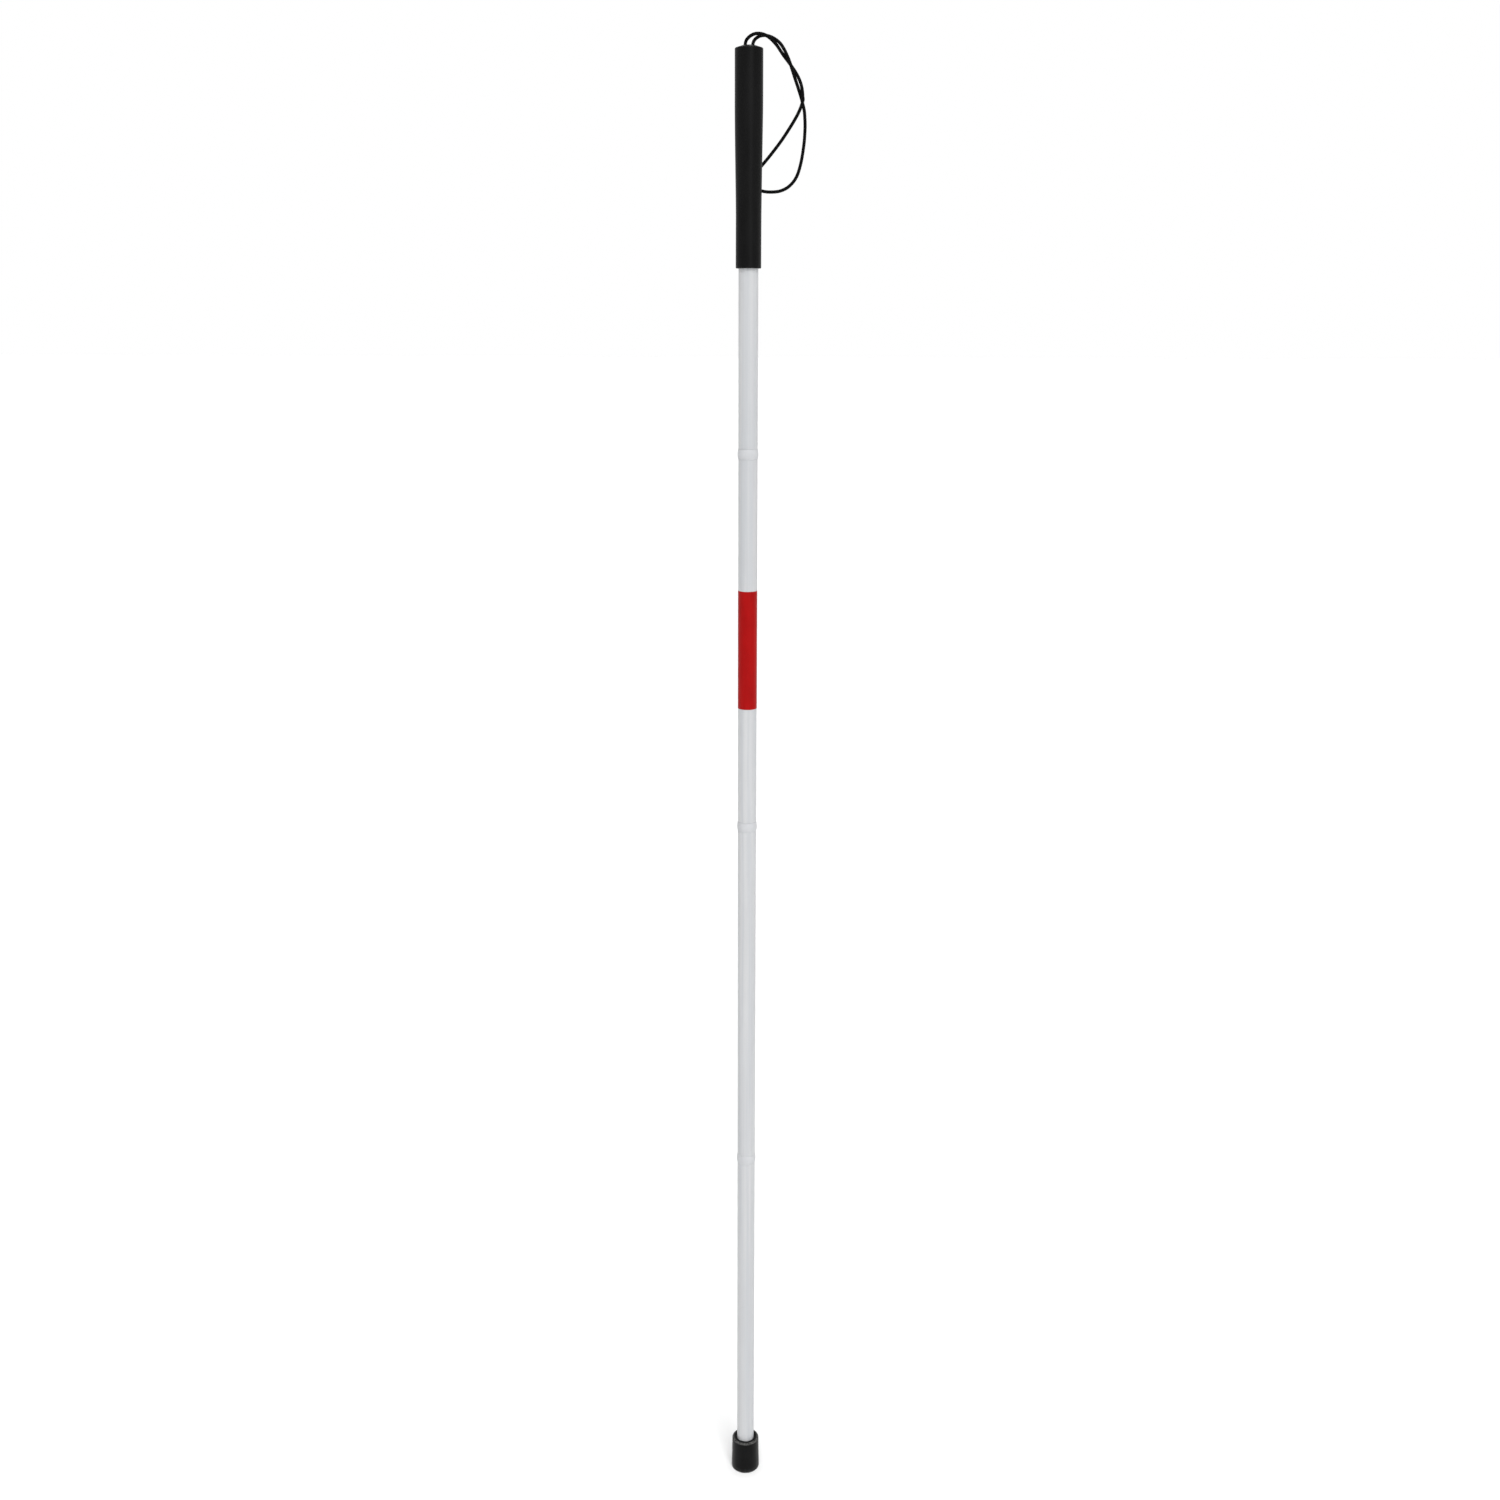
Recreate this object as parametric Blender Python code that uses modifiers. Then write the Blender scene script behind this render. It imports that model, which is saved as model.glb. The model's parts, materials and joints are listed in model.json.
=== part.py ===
"""White cane: a four-section folding shaft with a grip, a wrist cord and a rubber tip.

Metres, +Z up. The origin is the centre of the tip's sole, and the shaft stands on the Z axis.
"""
import math

import bmesh
import bpy
from mathutils import Vector

MM = 0.001
GAP = 0.3 * MM                    # room between neighbouring pieces
STEPS = 40                        # sides of a turned piece

# Shaft
LENGTH = 1066.8 * MM              # 42 inches from the sole to the top of the grip
TUBE_R = 6.6 * MM
WALL = 0.9 * MM
BORE_R = TUBE_R - WALL
PITCH = 266.0 * MM                # length that each folded section adds
FOLD_3_Z = 279.0 * MM
FOLD_2_Z = FOLD_3_Z + PITCH
FOLD_1_Z = FOLD_2_Z + PITCH

# Fold joints: each section turns about an axis beside the shaft
FOLD_REACH = 10.0 * MM            # from the shaft's centre to the fold axis
HALF_SEAM = 0.15 * MM             # each face's distance from the joint's plane
COLLAR_R = 7.08 * MM              # at the middle of its low barrel shape
COLLAR_END_R = 6.7 * MM
COLLAR_H = 7.0 * MM
STEM_R = BORE_R - GAP
STEM_H = 22.0 * MM
NOSE_H = 8.4 * MM
NOSE_FIT = 0.15 * MM              # least room between the nose and the mouth it swings out of
CORD_HOLE_R = 1.6 * MM

# Elastic cord inside the shaft
ELASTIC_R = 1.3 * MM
ELASTIC_SHY = 0.2 * MM            # how far its end stays inside the nose
KNOT_R = 2.2 * MM

# Grip
GRIP_H = 137.7 * MM
GRIP_BOTTOM_Z = LENGTH - GRIP_H
GRIP_TOP_R = 9.25 * MM
GRIP_FOOT_R = 8.5 * MM
GRIP_TAPER_TOP = 38.0 * MM        # below the top: the grip tapers between these two
GRIP_TAPER_LOW = 104.0 * MM
GRIP_FOOT_EDGE = 0.4 * MM
GRIP_BORE_R = TUBE_R + GAP
GRIP_ROOF = 6.3 * MM              # solid rubber over the bore
DOME_H = 1.4 * MM                 # height of the shallow cone on top
EDGE_R = 0.8 * MM
TOP_HOLE_R = 3.9 * MM

# Wrist cord: its two ends leave the grip's top side by side
CORD_R = 1.05 * MM
ENDS_APART = 5.1 * MM
STRAND_OFFSET = 1.25 * MM         # from the pair's middle line to each strand
FIRST_QUARTER = 13.2 * MM         # length in which the ends first cross
HALF_TURN = 24.7 * MM             # length of each later half turn
CORD_POINT_EVERY = 4.6 * MM
ANCHOR_H = 3.0 * MM
END_KNOT_R = 1.9 * MM

# The middle line of the twisted pair, as x, y and z from the top of the grip, in millimetres
PAIR_ROUTE = (
    (0.0, 0.0, 0.0), (1.3, 0.1, 3.5), (4.3, 0.2, 5.7), (7.6, 0.3, 6.4), (10.9, 0.5, 6.0),
    (14.6, 0.7, 4.3), (19.1, 1.0, 0.6), (23.2, 1.3, -5.4), (26.6, 1.6, -10.9), (30.2, 2.0, -17.8),
    (32.7, 2.4, -23.9), (34.2, 2.8, -29.7), (34.8, 3.2, -33.8),
)
# The open loop: down the outer side, round behind the grip and back up to the pair
LOOP_ROUTE = (
    (36.0, 4.5, -38.6), (36.5, 5.1, -43.5), (36.7, 5.6, -49.5), (36.1, 6.0, -59.4), (34.2, 6.3, -71.1),
    (31.3, 6.8, -79.8), (26.6, 7.6, -85.4), (21.0, 8.3, -88.2), (15.1, 8.9, -88.9), (9.5, 9.7, -88.4),
    (4.8, 10.5, -86.6), (2.4, 10.9, -82.8), (3.5, 10.9, -78.4), (7.3, 10.4, -73.8), (14.9, 8.6, -65.1),
    (22.7, 6.4, -55.2), (31.1, 3.4, -42.4),
)

# Reflective band
BAND_LOW_Z = 629.2 * MM
BAND_HIGH_Z = 713.4 * MM
BAND_GAP = 0.06 * MM
BAND_THICK = 0.12 * MM

# Rubber tip
TIP_H = 27.0 * MM
TIP_TOP_R = 10.5 * MM
TIP_TOP_EDGE = 1.4 * MM
TIP_WAIST_R = 10.65 * MM
TIP_WAIST_Z = 15.5 * MM           # the wall flares out below this height
TIP_FOOT_R = 10.9 * MM
TIP_FOOT_Z = 3.5 * MM
TIP_FOOT_EDGE = 0.7 * MM
TIP_FLOOR = 6.0 * MM
TIP_BORE_R = TUBE_R + GAP

WASHER_R = 6.4 * MM
WASHER_H = 1.4 * MM
WASHER_HOLE_R = 2.5 * MM
FLANGE_H = 1.5 * MM
TIP_PLUG_H = 16.0 * MM
KNOT_SEAT_R = KNOT_R + 0.4 * MM
KNOT_SEAT_H = 5.4 * MM

# Places that follow from the sizes above
TUBE_1_TOP_Z = LENGTH - 23.0 * MM
PLUG_LOW_Z = TIP_FLOOR + WASHER_H + 2 * GAP
KNOT_LOW_Z = PLUG_LOW_Z + 0.5 * MM + KNOT_R
TUBE_4_LOW_Z = PLUG_LOW_Z + FLANGE_H + GAP
ABOVE_NOSE = NOSE_H + 0.5 * MM    # where the elastic above a joint starts

# Looks: colour, roughness, metallic
BLACK_RUBBER = ((0.018, 0.018, 0.019), 0.62, 0.0)
WHITE_COAT = ((0.78, 0.79, 0.80), 0.35, 0.0)
WHITE_NYLON = ((0.72, 0.73, 0.73), 0.5, 0.0)
RED_FILM = ((0.50, 0.008, 0.010), 0.4, 0.0)
BLACK_CORD = ((0.012, 0.012, 0.013), 0.7, 0.0)
GREY_CORD = ((0.10, 0.10, 0.105), 0.75, 0.0)
STEEL = ((0.55, 0.55, 0.56), 0.3, 1.0)


def clear_scene():
    for item in list(bpy.data.objects):
        bpy.data.objects.remove(item, do_unlink=True)


def make_material(name, look):
    colour, roughness, metallic = look
    material = bpy.data.materials.new(name)
    material.use_nodes = True
    shader = material.node_tree.nodes["Principled BSDF"]
    shader.inputs["Base Color"].default_value = (*colour, 1.0)
    shader.inputs["Roughness"].default_value = roughness
    shader.inputs["Metallic"].default_value = metallic
    return material


def add_object(name, data, look, parent):
    item = bpy.data.objects.new(name, data)
    parts.objects.link(item)
    data.materials.append(make_material(name, look))
    if parent is not None:
        item.parent = parent
        item.location = -Vector(parent.location) + Vector(item.location)
    return item


def turned(name, profile, look, parent=None):
    """A piece turned about the Z axis from an outline of (radius, z) points.

    The outline runs down the outer side and back up the inner side. One that starts on the
    axis also ends there, and any other is closed by a last edge.
    """
    mesh = bpy.data.meshes.new(name)
    form = bmesh.new()
    points = [form.verts.new((radius, 0.0, z)) for radius, z in profile]
    for first, second in zip(points, points[1:]):
        form.edges.new((first, second))
    if profile[0][0] > 0.0:
        form.edges.new((points[-1], points[0]))
    form.to_mesh(mesh)
    form.free()
    item = add_object(name, mesh, look, parent)
    screw = item.modifiers.new("turn", "SCREW")
    screw.steps = STEPS
    screw.render_steps = STEPS
    screw.use_merge_vertices = True
    screw.merge_threshold = 0.00001
    screw.use_smooth_shade = True
    return item


def arc(centre_r, centre_z, radius, start, end, count):
    """Outline points on a round corner, from one angle to another in degrees."""
    points = []
    for index in range(count + 1):
        angle = math.radians(start + (end - start) * index / count)
        points.append((centre_r + radius * math.cos(angle), centre_z + radius * math.sin(angle)))
    return points


def add_pivot(name, location):
    pivot = bpy.data.objects.new(name, None)
    pivot.location = location
    pivot.empty_display_size = 0.02
    parts.objects.link(pivot)
    return pivot


def smooth_curve(route, samples=12):
    """Points along a Catmull-Rom curve through the route's own points."""
    points = [Vector(point) for point in route]
    ends = [points[0] * 2 - points[1], *points, points[-1] * 2 - points[-2]]
    curve = []
    for index in range(1, len(ends) - 2):
        before, here, after, beyond = ends[index - 1:index + 3]
        for step in range(samples):
            t = step / samples
            curve.append(0.5 * (
                2 * here + (after - before) * t
                + (2 * before - 5 * here + 4 * after - beyond) * t ** 2
                + (3 * here - before - 3 * after + beyond) * t ** 3))
    curve.append(points[-1])
    return curve


def spaced(curve, spacing):
    """The same curve with evenly spaced points, its ends kept."""
    lengths = [0.0]
    for first, second in zip(curve, curve[1:]):
        lengths.append(lengths[-1] + (second - first).length)
    count = round(lengths[-1] / spacing)
    even = []
    place = 0
    for index in range(count + 1):
        target = lengths[-1] * index / count
        while place < len(lengths) - 2 and lengths[place + 1] < target:
            place += 1
        share = (target - lengths[place]) / (lengths[place + 1] - lengths[place])
        even.append(curve[place].lerp(curve[place + 1], min(share, 1.0)))
    return even


def strand(side):
    """One strand of the twisted pair, which winds round the pair's middle line."""
    middle = spaced(smooth_curve([Vector(point) * MM for point in PAIR_ROUTE]), 3.5 * MM)
    depth = Vector((0.0, 1.0, 0.0))
    points = []
    travelled = 0.0
    for index, point in enumerate(middle):
        ahead = middle[min(index + 1, len(middle) - 1)]
        behind = middle[max(index - 1, 0)]
        along = (ahead - behind).normalized()
        across = depth.cross(along).normalized()
        if index:
            travelled += (point - middle[index - 1]).length
        late = max(travelled - FIRST_QUARTER, 0.0)
        turn = math.pi / 2 * min(travelled / FIRST_QUARTER, 1.0) + math.pi * late / HALF_TURN
        closing = max(1.0 - travelled / FIRST_QUARTER, 0.0)
        reach = STRAND_OFFSET + (ENDS_APART / 2 - STRAND_OFFSET) * closing
        points.append(point + side * reach * (across * math.cos(turn) + depth * math.sin(turn)))
    return points


def wrist_cord_points():
    """The whole cord: up one strand, round the loop and back down the other."""
    top = Vector((0.0, 0.0, LENGTH))
    below = GRIP_ROOF + ANCHOR_H
    ends = [Vector((side * ENDS_APART / 2, 0.0, -below)) for side in (1, -1)]
    loop = [Vector(point) * MM for point in LOOP_ROUTE]
    route = [ends[0], *strand(1), *loop, *reversed(strand(-1)), ends[1]]
    return [top + point for point in spaced(smooth_curve(route), CORD_POINT_EVERY)]


def tube_along(name, points, radius, look, parent=None):
    curve = bpy.data.curves.new(name, "CURVE")
    curve.dimensions = "3D"
    curve.bevel_depth = radius
    curve.bevel_resolution = 2
    curve.use_fill_caps = True
    spline = curve.splines.new("POLY")
    spline.points.add(len(points) - 1)
    for target, point in zip(spline.points, points):
        target.co = (*point, 1.0)
    return add_object(name, curve, look, parent)


def ball(name, radius, centre, look, parent=None):
    mesh = bpy.data.meshes.new(name)
    form = bmesh.new()
    bmesh.ops.create_uvsphere(form, u_segments=16, v_segments=10, radius=radius)
    bmesh.ops.translate(form, verts=form.verts, vec=centre)
    form.to_mesh(mesh)
    form.free()
    mesh.shade_smooth()
    return add_object(name, mesh, look, parent)


def disc(name, low_z, high_z, radius, hole_r, look, parent=None):
    outline = [(radius, high_z), (radius, low_z), (hole_r, low_z), (hole_r, high_z)]
    return turned(name, outline, look, parent)


def shaft_tube(name, low_z, high_z, parent=None):
    return disc(name, low_z, high_z, TUBE_R, BORE_R, WHITE_COAT, parent)


def nose_radius(height):
    """Widest the nose can be at a height and still swing out of the mouth above it."""
    mouth = FOLD_REACH + BORE_R - NOSE_FIT
    return math.sqrt(mouth ** 2 - height ** 2) - FOLD_REACH


def joint_plug(name, fold_z, parent):
    """Plug in a section's top end: stem below, collar, and the nose that enters the next tube."""
    collar_top = fold_z - HALF_SEAM
    collar_foot = collar_top - COLLAR_H
    nose_rise = NOSE_H - 0.4 * MM
    outline = [(CORD_HOLE_R, fold_z + NOSE_H), (nose_radius(NOSE_H) - 0.4 * MM, fold_z + NOSE_H)]
    for index in range(8, -1, -1):
        height = nose_rise * index / 8
        outline.append((nose_radius(height), fold_z + height))
    outline.append((nose_radius(0.0), collar_top))
    for index in range(7):
        swell = (COLLAR_R - COLLAR_END_R) * math.sin(math.pi * index / 6)
        outline.append((COLLAR_END_R + swell, collar_top - COLLAR_H * index / 6))
    outline += [
        (STEM_R, collar_foot),
        (STEM_R, collar_foot - STEM_H + 1.0 * MM),
        (STEM_R - 1.0 * MM, collar_foot - STEM_H),
        (CORD_HOLE_R, collar_foot - STEM_H),
    ]
    return turned(name, outline, WHITE_NYLON, parent)


def make_grip():
    shoulder_z = LENGTH - DOME_H
    cone = math.atan2(DOME_H, GRIP_TOP_R - TOP_HOLE_R)
    outline = [(TOP_HOLE_R, LENGTH)]
    outline += arc(GRIP_TOP_R - EDGE_R, shoulder_z - EDGE_R, EDGE_R, 90 - math.degrees(cone), 0, 4)
    outline += [
        (GRIP_TOP_R, LENGTH - GRIP_TAPER_TOP),
        (GRIP_FOOT_R, LENGTH - GRIP_TAPER_LOW),
        (GRIP_FOOT_R, GRIP_BOTTOM_Z + GRIP_FOOT_EDGE),
        (GRIP_FOOT_R - GRIP_FOOT_EDGE, GRIP_BOTTOM_Z),
        (GRIP_BORE_R, GRIP_BOTTOM_Z),
        (GRIP_BORE_R, LENGTH - GRIP_ROOF),
        (TOP_HOLE_R, LENGTH - GRIP_ROOF),
    ]
    return turned("grip", outline, BLACK_RUBBER)


def make_cord_anchor():
    """Disc under the grip's roof with a hole for each end of the wrist cord."""
    top_z = LENGTH - GRIP_ROOF - GAP
    low_z = top_z - ANCHOR_H
    outline = [(0.0, top_z), (GRIP_BORE_R - GAP, top_z), (GRIP_BORE_R - GAP, low_z), (0.0, low_z)]
    anchor = turned("cord_anchor", outline, WHITE_NYLON)
    for side, word in ((1, "right"), (-1, "left")):
        mesh = bpy.data.meshes.new("anchor_hole_" + word)
        form = bmesh.new()
        bmesh.ops.create_cone(
            form, cap_ends=True, segments=20, radius1=CORD_R + GAP, radius2=CORD_R + GAP, depth=3 * ANCHOR_H)
        bmesh.ops.translate(form, verts=form.verts, vec=(side * ENDS_APART / 2, 0.0, low_z))
        form.to_mesh(mesh)
        form.free()
        cutter = bpy.data.objects.new("anchor_hole_" + word, mesh)
        cutters.objects.link(cutter)
        cutter.hide_render = True
        cutter.display_type = "WIRE"
        hole = anchor.modifiers.new("hole_" + word, "BOOLEAN")
        hole.operation = "DIFFERENCE"
        hole.solver = "EXACT"
        hole.object = cutter
        knot_z = low_z - GAP - END_KNOT_R
        ball("cord_knot_" + word, END_KNOT_R, (side * ENDS_APART / 2, 0.0, knot_z), BLACK_CORD)


def make_top_section():
    """The root: grip, upper tube and what is anchored inside them."""
    make_grip()
    make_cord_anchor()
    tube_along("wrist_cord", wrist_cord_points(), CORD_R, BLACK_CORD)
    shaft_tube("tube_1", FOLD_1_Z + HALF_SEAM, TUBE_1_TOP_Z)
    washer_low = TUBE_1_TOP_Z + GAP
    washer_top = washer_low + WASHER_H
    disc("elastic_washer", washer_low, washer_top, WASHER_R, CORD_HOLE_R, STEEL)
    knot_z = washer_top + GAP + KNOT_R
    ball("elastic_knot_top", KNOT_R, (0.0, 0.0, knot_z), GREY_CORD)
    elastic("elastic_cord_1", FOLD_1_Z + NOSE_H + 0.5 * MM, washer_top, None)


def elastic(name, low_z, high_z, parent):
    points = [Vector((0.0, 0.0, low_z)), Vector((0.0, 0.0, high_z))]
    tube_along(name, points, ELASTIC_R, GREY_CORD, parent)


def make_folding_section(number, fold_z, low_z, elastic_low_z, pivot):
    """A lower section: plug, tube and its stretch of elastic, all turning about one fold."""
    joint_plug(f"joint_plug_{number}", fold_z, pivot)
    tube_top = fold_z - HALF_SEAM - COLLAR_H - GAP
    shaft_tube(f"tube_{number + 1}", low_z, tube_top, pivot)
    elastic(f"elastic_cord_{number + 1}", elastic_low_z, fold_z + NOSE_H - ELASTIC_SHY, pivot)


def make_band(pivot):
    inner = TUBE_R + BAND_GAP
    disc("red_band", BAND_LOW_Z, BAND_HIGH_Z, inner + BAND_THICK, inner, RED_FILM, pivot)


def make_tip(pivot):
    """Rubber ferrule, open at the top, with a steel washer on its floor."""
    washer_low = TIP_FLOOR + GAP
    disc("tip_washer", washer_low, washer_low + WASHER_H, WASHER_R, WASHER_HOLE_R, STEEL, pivot)
    outline = arc(TIP_TOP_R - TIP_TOP_EDGE, TIP_H - TIP_TOP_EDGE, TIP_TOP_EDGE, 90, 0, 4)
    outline += [(TIP_WAIST_R, TIP_WAIST_Z), (TIP_FOOT_R, TIP_FOOT_Z)]
    outline += arc(TIP_FOOT_R - TIP_FOOT_EDGE, TIP_FOOT_EDGE, TIP_FOOT_EDGE, 0, -90, 6)
    outline += [(0.0, 0.0), (0.0, TIP_FLOOR), (TIP_BORE_R, TIP_FLOOR), (TIP_BORE_R, TIP_H)]
    turned("rubber_tip", outline, BLACK_RUBBER, pivot)


def make_tip_plug(pivot):
    """Plug in the lowest tube's mouth: it holds the elastic's lower knot."""
    top_z = PLUG_LOW_Z + TIP_PLUG_H
    outline = [
        (CORD_HOLE_R, top_z),
        (STEM_R - 1.0 * MM, top_z),
        (STEM_R, top_z - 1.0 * MM),
        (STEM_R, PLUG_LOW_Z + FLANGE_H),
        (WASHER_R, PLUG_LOW_Z + FLANGE_H),
        (WASHER_R, PLUG_LOW_Z),
        (KNOT_SEAT_R, PLUG_LOW_Z),
        (KNOT_SEAT_R, PLUG_LOW_Z + KNOT_SEAT_H),
        (CORD_HOLE_R, PLUG_LOW_Z + KNOT_SEAT_H),
    ]
    turned("tip_plug", outline, WHITE_NYLON, pivot)
    ball("elastic_knot_low", KNOT_R, (0.0, 0.0, KNOT_LOW_Z), GREY_CORD, pivot)


clear_scene()
parts = bpy.data.collections.new("white_cane")
cutters = bpy.data.collections.new("cutters")
bpy.context.scene.collection.children.link(parts)
bpy.context.scene.collection.children.link(cutters)

fold_1 = add_pivot("fold_1_axis", (-FOLD_REACH, 0.0, FOLD_1_Z))
fold_2 = add_pivot("fold_2_axis", (0.0, -FOLD_REACH, FOLD_2_Z))
fold_3 = add_pivot("fold_3_axis", (FOLD_REACH, 0.0, FOLD_3_Z))

make_top_section()
make_folding_section(1, FOLD_1_Z, FOLD_2_Z + HALF_SEAM, FOLD_2_Z + ABOVE_NOSE, fold_1)
make_band(fold_1)
make_folding_section(2, FOLD_2_Z, FOLD_3_Z + HALF_SEAM, FOLD_3_Z + ABOVE_NOSE, fold_2)
make_folding_section(3, FOLD_3_Z, TUBE_4_LOW_Z, KNOT_LOW_Z + KNOT_R + GAP, fold_3)
make_tip_plug(fold_3)
make_tip(fold_3)
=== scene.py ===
"""Looks of the folding white cane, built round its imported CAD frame."""
import json
import math
import random

import bmesh
import bpy
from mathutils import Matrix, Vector


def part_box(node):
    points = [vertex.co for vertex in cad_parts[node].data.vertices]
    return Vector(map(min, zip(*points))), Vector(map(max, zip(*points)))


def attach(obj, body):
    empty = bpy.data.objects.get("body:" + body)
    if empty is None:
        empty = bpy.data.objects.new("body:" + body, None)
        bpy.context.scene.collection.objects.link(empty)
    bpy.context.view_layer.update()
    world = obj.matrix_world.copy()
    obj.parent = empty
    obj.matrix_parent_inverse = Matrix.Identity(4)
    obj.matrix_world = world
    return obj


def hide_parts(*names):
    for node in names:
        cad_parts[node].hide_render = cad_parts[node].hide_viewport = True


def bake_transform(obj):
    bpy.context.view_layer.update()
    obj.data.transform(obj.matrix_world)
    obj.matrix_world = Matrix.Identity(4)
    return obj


MM = 0.001
SHARP_ANGLE = 35.0                # degrees past which an edge of a turned piece is sharp
CORD_SHARP_ANGLE = 60.0

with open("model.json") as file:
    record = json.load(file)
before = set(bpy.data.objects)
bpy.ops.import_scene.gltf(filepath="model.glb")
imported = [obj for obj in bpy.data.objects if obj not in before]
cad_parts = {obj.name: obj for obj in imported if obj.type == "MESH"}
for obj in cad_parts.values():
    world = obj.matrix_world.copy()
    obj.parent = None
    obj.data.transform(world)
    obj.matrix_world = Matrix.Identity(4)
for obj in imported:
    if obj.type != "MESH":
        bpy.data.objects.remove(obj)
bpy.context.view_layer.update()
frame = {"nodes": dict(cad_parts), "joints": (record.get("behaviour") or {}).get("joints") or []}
joints = {joint["name"]: joint for joint in frame["joints"]}


# ---------------------------------------------------------------- places read from the frame

def low_z(node):
    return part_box(node)[0].z


def high_z(node):
    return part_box(node)[1].z


def radius_of(node):
    low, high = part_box(node)
    return (high.x - low.x) / 2


FOLD_Z = [joints[f"fold_{number}"]["pos_m"][2] for number in (1, 2, 3)]
TOP_Z = high_z("grip")
TUBE_R = radius_of("tube_1")
WALL = 0.9 * MM
BORE_R = TUBE_R - WALL
ELASTIC_R = radius_of("elastic_cord_1")
GAP = 0.3 * MM                    # room between pieces that fit into each other


# ---------------------------------------------------------------- mesh tools

def ring_mesh(name, rings, closed_loop=False):
    """A tube of quads through rings of points, with a UV map: U round the ring, V along it in metres."""
    mesh = bpy.data.meshes.new(name)
    form = bmesh.new()
    uv = form.loops.layers.uv.new("UVMap")
    rows = [[form.verts.new(point) for point in ring] for ring, _ in rings]
    heights = [height for _, height in rings]
    count = len(rows[0])
    pairs = [(index, index + 1) for index in range(len(rows) - 1)]
    if closed_loop:
        pairs.append((len(rows) - 1, 0))
    for low, high in pairs:
        for side in range(count):
            after = (side + 1) % count
            face = form.faces.new((rows[low][side], rows[low][after], rows[high][after], rows[high][side]))
            face.smooth = True
            foot, head = heights[low], heights[high]
            span = ((side, foot), (side + 1, foot), (side + 1, head), (side, head))
            for loop, (turn, height) in zip(face.loops, span):
                loop[uv].uv = (turn / count, height)
    return mesh, form, rows


def close_end(form, row, centre_point):
    """A fan of triangles from one ring of vertices to a point at its middle."""
    centre = form.verts.new(centre_point)
    for side, vertex in enumerate(row):
        form.faces.new((vertex, row[(side + 1) % len(row)], centre)).smooth = True


def finish_mesh(name, mesh, form, look, sharp=SHARP_ANGLE):
    """Close the bmesh into an object with sharp edges past an angle in degrees."""
    bmesh.ops.recalc_face_normals(form, faces=form.faces)
    form.to_mesh(mesh)
    form.free()
    mesh.set_sharp_from_angle(angle=math.radians(sharp))
    piece = bpy.data.objects.new(name, mesh)
    bpy.context.scene.collection.objects.link(piece)
    mesh.materials.append(look)
    return piece


def lathe(name, outline, look, sides=96, shift=None):
    """A piece turned from a (radius, z) outline; shift moves a point by its angle, radius and z.

    An outline that starts and ends on the axis gives a solid, and any other is closed into a ring.
    """
    rings = []
    travelled = 0.0
    for index, (radius, z) in enumerate(outline):
        if index:
            before = outline[index - 1]
            travelled += math.hypot(radius - before[0], z - before[1])
        ring = []
        for side in range(sides):
            angle = 2 * math.pi * side / sides
            reach = radius + (shift(angle, radius, z) if shift else 0.0)
            ring.append((reach * math.cos(angle), reach * math.sin(angle), z))
        rings.append((ring, travelled))
    if outline[0][0] > 0.0:
        mesh, form, _ = ring_mesh(name, rings, closed_loop=True)
    else:
        mesh, form, rows = ring_mesh(name, rings[1:-1])
        close_end(form, rows[0], (0.0, 0.0, outline[0][1]))
        close_end(form, rows[-1], (0.0, 0.0, outline[-1][1]))
    return finish_mesh(name, mesh, form, look)


def arc(centre_r, centre_z, radius, start, end, count=6):
    """Points on a round corner of an outline, from one angle to another in degrees."""
    points = []
    for index in range(count + 1):
        angle = math.radians(start + (end - start) * index / count)
        points.append((centre_r + radius * math.cos(angle), centre_z + radius * math.sin(angle)))
    return points


def straight(start, end, count):
    """Points between two outline points, both ends left out."""
    return [
        (start[0] + (end[0] - start[0]) * step / count,
         start[1] + (end[1] - start[1]) * step / count)
        for step in range(1, count)
    ]


def smooth_curve(route, samples=12):
    """Points along a Catmull-Rom curve through the route's own points."""
    points = [Vector(point) for point in route]
    ends = [points[0] * 2 - points[1], *points, points[-1] * 2 - points[-2]]
    curve = []
    for index in range(1, len(ends) - 2):
        before, here, after, beyond = ends[index - 1:index + 3]
        for step in range(samples):
            t = step / samples
            curve.append(0.5 * (
                2 * here + (after - before) * t
                + (2 * before - 5 * here + 4 * after - beyond) * t ** 2
                + (3 * here - before - 3 * after + beyond) * t ** 3))
    curve.append(points[-1])
    return curve


def spaced(curve, spacing):
    """The same curve with evenly spaced points, its ends kept."""
    lengths = [0.0]
    for first, second in zip(curve, curve[1:]):
        lengths.append(lengths[-1] + (second - first).length)
    count = round(lengths[-1] / spacing)
    even = []
    place = 0
    for index in range(count + 1):
        target = lengths[-1] * index / count
        while place < len(lengths) - 2 and lengths[place + 1] < target:
            place += 1
        share = (target - lengths[place]) / (lengths[place + 1] - lengths[place])
        even.append(curve[place].lerp(curve[place + 1], min(share, 1.0)))
    return even


# ---------------------------------------------------------------- materials

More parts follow.
